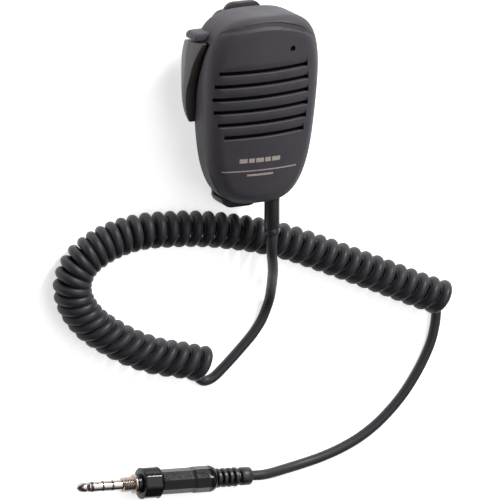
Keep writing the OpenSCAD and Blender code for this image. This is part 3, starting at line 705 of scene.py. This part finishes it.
# ---------------------------------------------------------------------------
# Belt clip and strain relief
# ---------------------------------------------------------------------------
CLIP_LOW, CLIP_HIGH = corners("clip_base")[:2]
CLIP_W, CLIP_T, CLIP_TOP = CLIP_HIGH[0] - CLIP_LOW[0], 2.2, 10.9
LEVER_LOW, LEVER_HIGH = -42.0, corners("clip_lever")[1][1]
AXLE_LOW, AXLE_HIGH, AXLE_MIDDLE = corners("clip_pin")
HINGE_Y, HINGE_Z, HINGE_R = *AXLE_MIDDLE[1:], (AXLE_HIGH[2] - AXLE_LOW[2]) / 2
EAR_T, BASE_EAR_R, LEVER_EAR_R, EAR_GAP = 1.5, 2.6, 2.2, 0.2
JAW_ROUND, JAW_LONG, JAW_GAP = 12.0, 3.4, 0.3
NUB_R, NUB_TOP, NUB_OUT = 1.3, 5.0, 0.4
CLIP_ROUND, CLIP_CORNER, CORNER_STEPS = 0.5, 4.0, 10


def round_plate(low, high):
    """Outline of a clip plate: a rectangle with round corners."""
    points = []
    for sx, sy, start in ((1, 1, 0), (-1, 1, 90), (-1, -1, 180), (1, -1, 270)):
        cx = sx * (CLIP_W / 2 - CLIP_CORNER)
        cy = high - CLIP_CORNER if sy > 0 else low + CLIP_CORNER
        for k in range(CORNER_STEPS + 1):
            a = math.radians(start + 90 * k / CORNER_STEPS)
            points.append((cx + CLIP_CORNER * math.cos(a), cy + CLIP_CORNER * math.sin(a)))
    return points


def along_hinge(name, x, r, half_long, steps):
    """Round bar on the hinge line."""
    bar = lathe(name, [(r, -half_long), (r, half_long)], steps)
    return move(bar, (x, HINGE_Y, HINGE_Z), QUARTER_TURN, "Y")


def ears(side, r, low, high):
    """A hinge ear at each side: a round eye with a foot between two heights."""
    pair = []
    for x in (side, -side):
        foot = box("foot", (x - EAR_T / 2, HINGE_Y - r, low), (x + EAR_T / 2, HINGE_Y + r, high))
        pair.append(combine(along_hinge("ear", x, r, EAR_T / 2, 40), "UNION", foot))
    return pair


def make_clip_base():
    plate = prism("clip_base_plate", round_plate(CLIP_LOW[1], CLIP_HIGH[1]), CLIP_TOP - CLIP_T, CLIP_TOP)
    round_edges(plate, CLIP_ROUND)
    stud = post("stud", 0, 0, STUD_R, CLIP_TOP - 1, BACK_Z + WALL + 0.7, 48)
    combine(plate, "UNION", *ears(CLIP_W / 2 - EAR_T / 2, BASE_EAR_R, HINGE_Z, CLIP_TOP - 0.5), stud)
    combine(plate, "DIFFERENCE", along_hinge("cross_bore", 0, HINGE_R, 20, 32),
            post("screw_bore", 0, 0, SCREW_R, CLIP_TOP - 1.4, 30))
    return shade(plate)


def make_clip_lever():
    plate = prism("clip_lever_plate", round_plate(LEVER_LOW, LEVER_HIGH), 0, CLIP_T)
    round_edges(plate, CLIP_ROUND)
    jaw = prism("jaw", round_plate(LEVER_LOW, LEVER_LOW + JAW_ROUND), 0.02, CLIP_TOP - CLIP_T - JAW_GAP)
    combine(jaw, "INTERSECT", box("jaw_room", (-10, LEVER_LOW - 1, -1), (10, LEVER_LOW + JAW_LONG, 12)))
    nub = post("nub", 0, LEVER_LOW + NUB_OUT, NUB_R, 0.05, NUB_TOP)
    round_edges(jaw, CLIP_ROUND)
    side = CLIP_W / 2 - EAR_T - EAR_GAP - EAR_T / 2
    combine(plate, "UNION", jaw, nub, *ears(side, LEVER_EAR_R, 0.5, HINGE_Z))
    combine(plate, "DIFFERENCE", along_hinge("cross_bore", 0, HINGE_R + HINGE_PLAY, 20, 32))
    return shade(plate)


CORD_BORE_R = 1.78
FLANGE_R, FLANGE_T, RELIEF_TAIL = RELIEF_D / 2 + 1, 1.6, 3.0


def make_relief():
    """Moulded sleeve with a soft lip at its outer end and a flange behind the case wall."""
    r, root = RELIEF_D / 2, RELIEF_LONG - RELIEF_TAIL
    lip = [(r - 0.35, 0.0), (r - 0.1, 0.15), (r, 0.5), (r, 1.5), (r - 0.12, 1.75), (r - 0.12, 2.1), (r, 2.35)]
    flange = [(r, root), (FLANGE_R, root), (FLANGE_R, root + FLANGE_T), (r, root + FLANGE_T)]
    profile = [(CORD_BORE_R, 0.0)] + lip + flange + [(r, RELIEF_LONG), (CORD_BORE_R, RELIEF_LONG)]
    sleeve = lathe("strain_relief_sleeve", profile, 56)
    return shade(move(sleeve, (RELIEF_X, RELIEF_END, RELIEF_Z), -QUARTER_TURN, "X"))


paint(make_clip_base(), "clip_carrier", "clip_plastic", "clip_base")
paint(make_clip_lever(), "clip_jaw", "clip_plastic", "clip_lever")
paint(make_relief(), "case", "relief_rubber", "strain_relief")


# ---------------------------------------------------------------------------
# Plug: threaded collar, lock sleeve, body with its flats, ribbed boot
# ---------------------------------------------------------------------------
PLUG_LEN, PLUG_YAW, PLUG_TAIL = 64.6, math.radians(-4.4), (5.0, -139.0, 5.4)
PLUG_R, CORE_R, LOCK_R, BODY_R = 1.75, 1.45, 5.4, 4.6
TIP_NOSE, TIP_END, STEM_R, STEM_END = 2.9, 4.9, 0.5, 36.0
THREAD_START, THREAD_END, COLLAR_END = 16.5, 20.7, 21.7
NECK_END, LOCK_END, BODY_END = 23.3, 30.1, 50.9
THREAD_R, THREAD_PITCH, THREAD_DEPTH, THREAD_STEPS = 2.5, 0.6, 0.2, 60
COLLAR_R, NECK_R = THREAD_R + 0.8, LOCK_R - 2.0
LOCK_FLATS, LOCK_FLAT_DEPTH, EDGE_R = 8, 0.055, 0.5
BODY_GAP, BODY_BORE_R, BODY_ROUND = 0.3, 1.4, 2.4
GRIP_START, GRIP_LONG, GRIP_STEP = 12.0, 5.4, 0.1
FLAT_DEPTH, GRIP_FLAT_DEPTH, EIGHTH_TURN = 0.62, 0.42, math.pi / 4
BOOT_CORE_R, RIB_R, RIB_COUNT, RIB_START, RIB_PITCH, BOOT_R = 2.1, 3.3, 4, 0.7, 2.15, 3.15


def on_plug(piece):
    """From stations along Z, counted from the tip, to the plug's place on the floor."""
    ahead = Vector((math.cos(PLUG_YAW), math.sin(PLUG_YAW), 0))
    turn = Matrix((UP.cross(ahead), UP, ahead)).transposed().to_4x4()
    piece.data.transform(Matrix.Translation(Vector(PLUG_TAIL) - ahead * PLUG_LEN) @ turn)
    return piece


def stations(r, start, end, count):
    """Evenly placed stations of one radius, past the first."""
    return [(r, start + (end - start) * k / count) for k in range(1, count + 1)]


def make_tip():
    """Rounded nose, a shallow catch groove and the shoulder in front of the first insulator."""
    turns = [math.radians(a) for a in range(0, 91, 10)]
    nose = [(PLUG_R * math.sin(a) ** 1.15, TIP_NOSE * (1 - math.cos(a))) for a in turns]
    groove = [(0, 3.2), (0.16, 3.5), (0.3, 3.8), (0.16, 4.1), (0, 4.35), (0, 4.85), (0.05, TIP_END)]
    profile = nose + [(PLUG_R - depth, z) for depth, z in groove] + [(STEM_R, TIP_END), (STEM_R, STEM_END)]
    return shade(on_plug(lathe("plug_tip_turned", profile, 48)), 45)


def make_collar():
    """Thread, then a plain collar behind it."""
    start = THREAD_START + 0.2
    profile = [(CORE_R, THREAD_START), (THREAD_R - 0.3, THREAD_START), (THREAD_R, start)]
    profile += stations(THREAD_R, start, THREAD_END, THREAD_STEPS)
    profile += [(COLLAR_R - 0.15, THREAD_END + 0.02), (COLLAR_R, THREAD_END + 0.15)]
    profile += [(COLLAR_R, COLLAR_END - 0.15), (COLLAR_R - 0.15, COLLAR_END), (CORE_R, COLLAR_END)]

    def flute(r, z, a):
        if THREAD_START + 0.25 < z < THREAD_END - 0.1:
            phase = (z / THREAD_PITCH - a / FULL_TURN) % 1.0
            return r - THREAD_DEPTH * abs(2 * phase - 1)
        return r
    return shade(on_plug(lathe("thread_collar_turned", profile, 48, flute)), 75)


def make_lock_sleeve():
    """Neck, then a wide sleeve that dips to flats between rounded corners."""
    start, end = NECK_END + EDGE_R, LOCK_END - EDGE_R
    profile = [(CORE_R, COLLAR_END), (NECK_R - 0.2, COLLAR_END), (NECK_R, COLLAR_END + 0.2)]
    profile += [(NECK_R, NECK_END), (LOCK_R - EDGE_R, NECK_END), (LOCK_R - 0.12, NECK_END + 0.15)]
    profile += [(LOCK_R, start), (LOCK_R, start + 0.05)] + stations(LOCK_R, start + 0.05, end - 0.05, 8)
    profile += [(LOCK_R, end), (LOCK_R - 0.12, LOCK_END - 0.15), (LOCK_R - EDGE_R, LOCK_END)]
    profile += [(CORE_R, LOCK_END)]

    def flute(r, z, a):
        if r > BODY_R and start < z < end:
            share = (LOCK_FLATS * a / FULL_TURN) % 1.0 - 0.5
            return r * (1 - LOCK_FLAT_DEPTH * math.cos(math.pi * share) ** 2)
        return r
    return shade(on_plug(lathe("lock_sleeve_knurled", profile, 96, flute)), 24)


def make_plug_body():
    """Barrel with eight long flats, a raised grip behind them and a rounded end."""
    start, end, barrel_r = LOCK_END + BODY_GAP, BODY_END, BODY_R - GRIP_STEP
    barrel, grip = start + EDGE_R, start + GRIP_START + EDGE_R
    profile = [(BODY_BORE_R, start), (BODY_R - 0.55, start), (BODY_R - 0.2, start + 0.12), (barrel_r, barrel)]
    profile += stations(barrel_r, barrel, start + GRIP_START - 0.1, 8)
    profile += [(BODY_R, grip)] + stations(BODY_R, grip, grip + GRIP_LONG, 6)
    for k in range(1, 7):
        a = QUARTER_TURN * k / 6
        profile.append((BODY_R - BODY_ROUND / 2 * (1 - math.cos(a)), end - BODY_ROUND * (1 - math.sin(a))))
    profile += [(BODY_BORE_R, end)]

    def flute(r, z, a):
        if r > BODY_R - 0.15 and start + 0.4 < z < end - 2.0:
            reach = BODY_R - (FLAT_DEPTH if z < start + GRIP_START else GRIP_FLAT_DEPTH)
            turn = (a + EIGHTH_TURN / 2) % EIGHTH_TURN - EIGHTH_TURN / 2
            return min(r, reach / math.cos(turn))
        return r
    return shade(on_plug(lathe("plug_barrel", profile, 96, flute)), 20)


def make_boot():
    """Four ribs on a thin core, then a plain end round the cord."""
    start, end = BODY_END, PLUG_LEN
    profile = [(CORD_BORE_R, start), (BOOT_CORE_R, start)]
    for k in range(RIB_COUNT):
        z = start + RIB_START + RIB_PITCH * k
        profile += [(BOOT_CORE_R, z - 0.12), (RIB_R - 0.18, z), (RIB_R, z + 0.2), (RIB_R, z + 1.0),
                    (RIB_R - 0.18, z + 1.2), (BOOT_CORE_R, z + 1.32)]
    profile += [(BOOT_CORE_R, end - 4.1), (BOOT_R - 0.2, end - 4.0), (BOOT_R, end - 3.7), (BOOT_R, end - 0.5),
                (BOOT_R - 0.3, end - 0.1), (BOOT_R - 0.65, end), (CORD_BORE_R, end)]
    return shade(on_plug(lathe("plug_boot_ribbed", profile, 64)), 40)


tip_piece = paint(make_tip(), "case", "plug_contact", "plug_tip")
thread_piece = paint(make_collar(), "case", "lock_metal", "thread_collar")
lock_piece = paint(make_lock_sleeve(), "locking_sleeve", "plug_shell", "lock_sleeve")
body_piece = paint(make_plug_body(), "case", "plug_shell", "plug_body")
boot_piece = paint(make_boot(), "case", "relief_rubber", "plug_boot")


# ---------------------------------------------------------------------------
# Cord: lead, curly stretch and second lead as one line
# ---------------------------------------------------------------------------
CORD_D = 3.5
STEPS_A_TURN = 22
AXIS_STEP = 0.25
MIC_ROUTE = [(5.8, -48.8, 21), (5.8, -51.8, 21), (6.3, -56, 19.8), (7.8, -60, 17.3), (9.5, -64, 14),
             (11.1, -68, 10.2), (12.6, -72.5, 6.2), (13.3, -77, 3.4), (12.6, -81.2, 2.1),
             (10.9, -85.2, 1.75), (8, -89.2, 1.75), (4.2, -93.1, 1.75), (0.3, -96.8, 1.75),
             (-3.6, -100.3, 1.75), (-7.4, -103.2, 1.75), (-10.8, -103.8, 1.75), (-13, -101.8, 1.75),
             (-13.6, -98.8, 1.75)]
COIL_ROUTE = [(-12, -96.5), (-21, -93.7), (-30, -91.1), (-38.7, -87.2), (-46.8, -82.2), (-54.2, -76.3),
              (-59.2, -69.1), (-60.5, -61.8), (-57.4, -55.2), (-51.2, -51), (-44.2, -48.4), (-35.5, -47.1),
              (-26, -47.4), (-16.5, -48.3), (-7.5, -49.8), (1.6, -51.9), (10.6, -54.4), (19.6, -57.6),
              (28.5, -61.5), (37.5, -65.6), (46.5, -69.8), (55.5, -74), (64.4, -78.3), (72, -81.8),
              (78.5, -84.6)]
PLUG_ROUTE = [(77.9, -87.2, 1.75), (78, -91, 1.75), (77.5, -95.5, 1.75), (76.1, -101, 1.75),
              (73.5, -106.8, 1.75), (70, -112.7, 1.75), (65.4, -118.9, 1.75), (60.1, -124.3, 1.75),
              (54.4, -128.9, 1.75), (47.9, -132.7, 1.75), (40.6, -135.6, 1.75), (33.2, -137.6, 1.75),
              (26, -138.8, 2), (19.8, -139.3, 3), (14, -139.5, 4.4), (9.5, -139.35, 5.4), (5, -139, 5.4)]
# Along the coil, by share of its length: distance between turns, lean of a turn, outer diameter
COIL_PITCH = [(0, 4.9), (0.12, 4.9), (0.19, 4.3), (0.24, 3.3), (0.38, 3.3), (0.45, 4.4), (0.6, 4.75),
              (1, 4.9)]
COIL_LEAN = [(0, 0.42), (0.2, 0.34), (0.33, 0.0), (0.45, -0.08), (0.6, -0.08), (0.75, 0.0), (1, 0.0)]
COIL_SIZE = [(0, 12.6), (0.1, 13.1), (0.3, 13.1), (0.45, 12.5), (0.7, 12.4), (1, 12.7)]
# A slow waver along the coil; it and the lean grow from nothing over the coil's ends
WAVER, WAVER_RATE, END_FADE = 0.16, 31.0, 14


def along(table, share):
    return float(np.interp(share, *zip(*table)))


def coil_line():
    """Left-handed helix round the curly cord's axis; it starts and ends at its lowest point."""
    axis = evenly(catmull(level(COIL_ROUTE, 0), 8), AXIS_STEP)
    last = len(axis) - 1
    shares = np.linspace(0, 1, last + 1)
    dense = np.array([AXIS_STEP * last / along(COIL_PITCH, share) for share in shares])
    turned = np.concatenate([[0], np.cumsum((dense[1:] + dense[:-1]) / 2 / last)])
    turns = round(float(turned[-1]))
    turned *= turns / turned[-1]
    line = []
    for k in range(turns * STEPS_A_TURN + 1):
        share = float(np.interp(k / STEPS_A_TURN, turned, shares))
        i = min(int(share * last), last - 1)
        ahead = (axis[min(i + 4, last)] - axis[max(i - 3, 0)]).normalized()
        aside = UP.cross(ahead).normalized()
        size = along(COIL_SIZE, share)
        turn = -QUARTER_TURN - FULL_TURN * k / STEPS_A_TURN
        out, rise = (size - CORD_D) / 2 * math.cos(turn), (size - CORD_D) / 2 * math.sin(turn)
        fade = min(1.0, END_FADE * share, END_FADE * (1 - share))
        waver = WAVER * math.sin(WAVER_RATE * share) * math.sin(turn)
        shift = fade * (along(COIL_LEAN, share) * out + waver)
        centre = axis[i].lerp(axis[i + 1], share * last - i) + UP * size / 2
        line.append(centre + out * aside + rise * UP + shift * ahead)
    return line


def cord_line():
    coil = coil_line()
    first = catmull(MIC_ROUTE + coil[:2], 6)
    last = catmull(coil[-2:] + PLUG_ROUTE, 6)
    return first[:-1] + coil[1:-1] + last[1:]


cord_path = cord_line()
cord = sweep("cord", cord_path, CORD_D / 2)
paint(cord, "case", "cord_jacket", "mic_lead", "curly_cord", "plug_lead")


# ---------------------------------------------------------------------------
# Floor and light
# ---------------------------------------------------------------------------
FLOOR_REACH, FLOOR_GLOW, WORLD_LEVEL = 2.5, 0.68, 0.05
# Each lamp's place from the part's middle, its size and its watts
LAMPS = {
    "key": ((0.25, 0.45, 1.3), 1.1, 7.5),
    "fill": ((0.75, -0.35, 1.3), 1.2, 3),
    "brow_light": ((0.5, 0.92, 0.64), 0.3, 15),
}


def make_floor():
    n = Nodes(new_material("floor_white"))
    white = n.mix(n.noise(4.0, 2.0), (0.93, 0.93, 0.93), (0.96, 0.96, 0.96))
    n.fill(n.shader, Base_Color=white, Roughness=0.9, Emission_Color=(1, 1, 1), Emission_Strength=FLOOR_GLOW)
    r = FLOOR_REACH
    floor = mesh_object("floor", level([(-r, -r), (r, -r), (r, r), (-r, r)], 0), [(0, 1, 2, 3)], smooth=False)
    floor.data.materials.append(n.mat)


def area_light(name, place, aim, size, watts):
    data = bpy.data.lights.new(name, "AREA")
    data.shape = "SQUARE"
    data.size = size
    data.energy = watts
    lamp = bpy.data.objects.new(name, data)
    lamp.location = place
    lamp.rotation_mode = "QUATERNION"
    lamp.rotation_quaternion = (aim - place).to_track_quat("-Z", "Y")
    bpy.context.collection.objects.link(lamp)


def make_world():
    world = bpy.data.worlds.new("studio")
    world.use_nodes = True
    world.node_tree.nodes["Background"].inputs["Color"].default_value = (1, 1, 1, 1)
    world.node_tree.nodes["Background"].inputs["Strength"].default_value = WORLD_LEVEL
    bpy.context.scene.world = world


make_floor()
make_world()
middle = (cad_low + cad_high) / 2
for lamp_name, (offset, size, watts) in LAMPS.items():
    area_light(lamp_name, middle + Vector(offset), middle, size, watts)
bpy.context.scene.view_settings.view_transform = "Standard"
